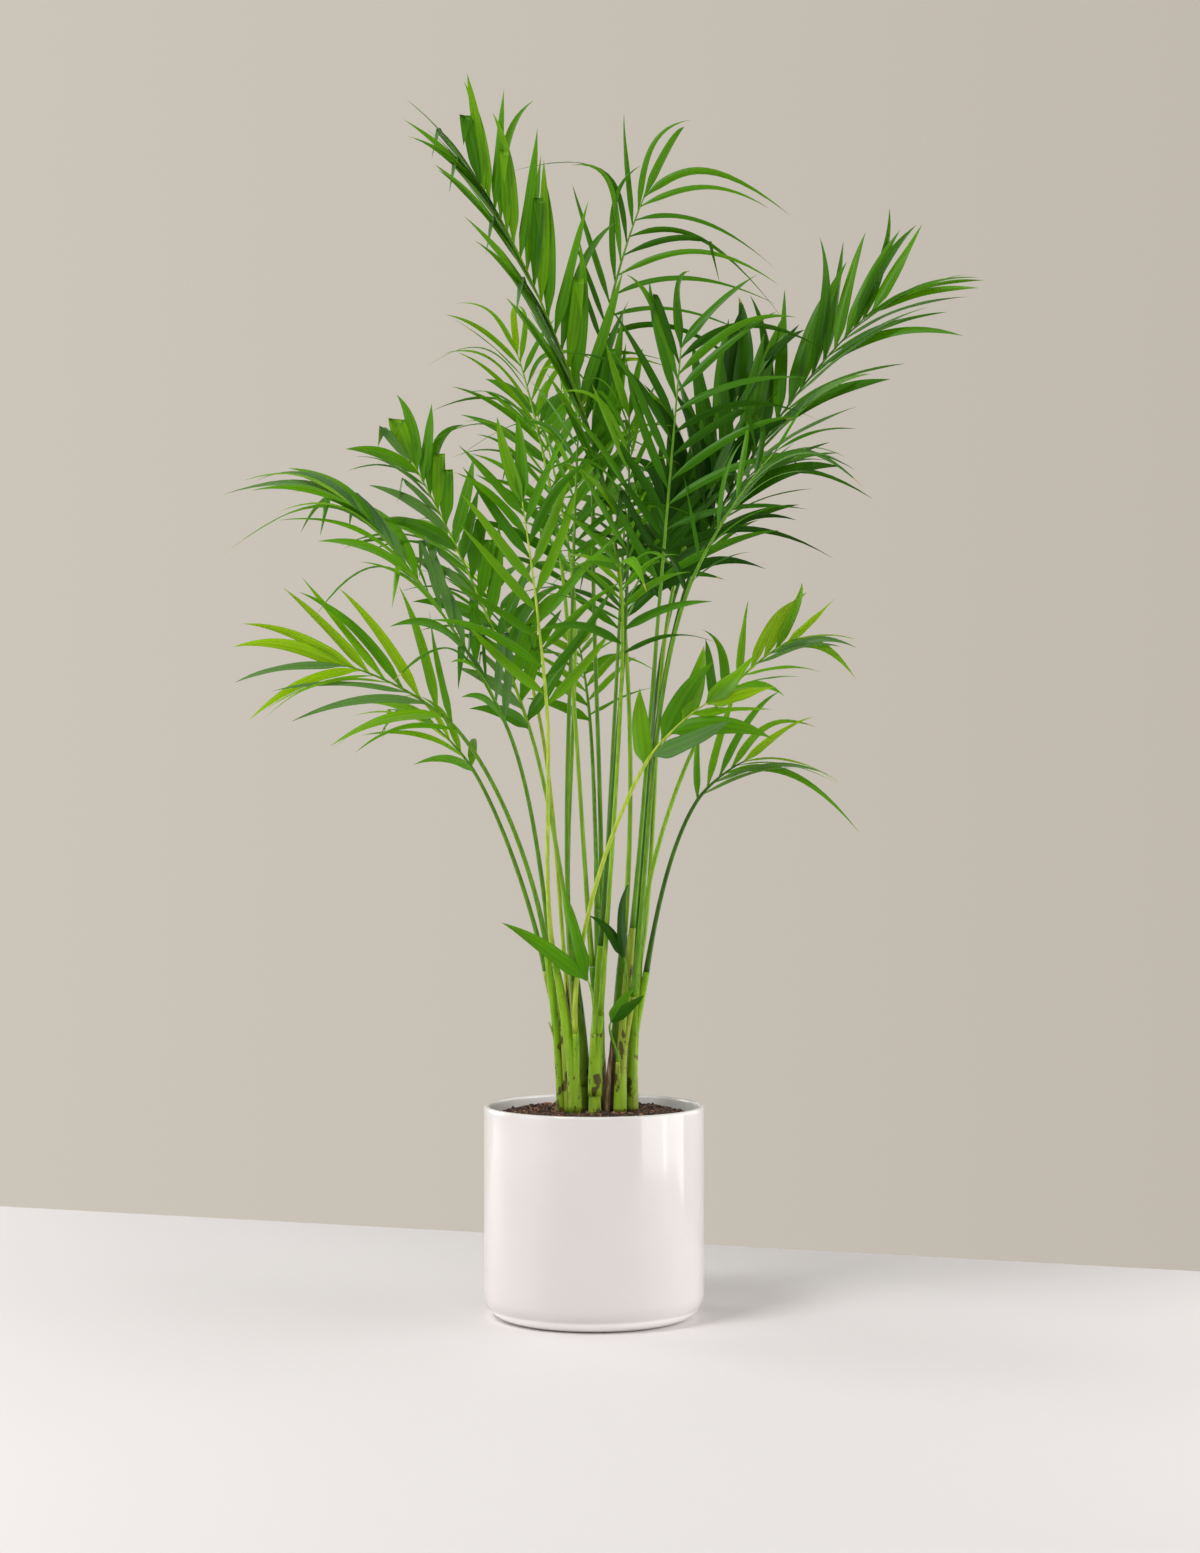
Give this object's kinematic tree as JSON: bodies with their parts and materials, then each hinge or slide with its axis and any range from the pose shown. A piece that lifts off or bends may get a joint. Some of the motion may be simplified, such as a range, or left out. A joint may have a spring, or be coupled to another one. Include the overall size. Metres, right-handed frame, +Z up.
{
  "type": "potted cat palm",
  "caption": "Cat palm, a clump of thin leaning canes with arching feather-shaped fronds, growing in soil in a straight-sided round white pot that stands on its flat underside.",
  "frame": {"origin": "middle of the pot's flat underside, on the pot's axis", "axes": "+Z up along the pot's axis; the front of the palm, as pictured, faces -Y, with +X to the right"},
  "size_m": [0.8684, 0.7516, 1.4279],
  "materials": {
    "pot": "satin white, smooth",
    "soil": "matt, dark brown bark and peat",
    "cane": "satin, green with brown marks",
    "frond": "waxy, green"
  },
  "bodies": {
    "root": {"cane_01": "cane", "cane_02": "cane", "cane_03": "cane", "cane_04": "cane", "cane_05": "cane", "cane_06": "cane", "cane_07": "cane", "cane_08": "cane", "cane_09": "cane", "cane_10": "cane", "cane_11": "cane", "cane_12": "cane", "frond_back": "frond", "frond_back_high": "frond", "frond_back_left": "frond", "frond_back_right": "frond", "frond_front": "frond", "frond_front_left": "frond", "frond_heart": "frond", "frond_heart_left": "frond", "frond_heart_right": "frond", "frond_left_arch": "frond", "frond_left_back": "frond", "frond_low_back": "frond", "frond_low_front": "frond", "frond_low_left": "frond", "frond_low_left_back": "frond", "frond_low_right": "frond", "frond_lowest_right": "frond", "frond_right": "frond", "frond_right_front": "frond", "frond_right_inner": "frond", "frond_right_upright": "frond", "frond_top_left": "frond", "frond_top_middle": "frond", "frond_upper_right": "frond", "pot": "pot", "small_leaf_front": "frond", "small_leaf_low": "frond", "small_leaf_right": "frond", "soil": "soil"}
  },
  "joints": []
}
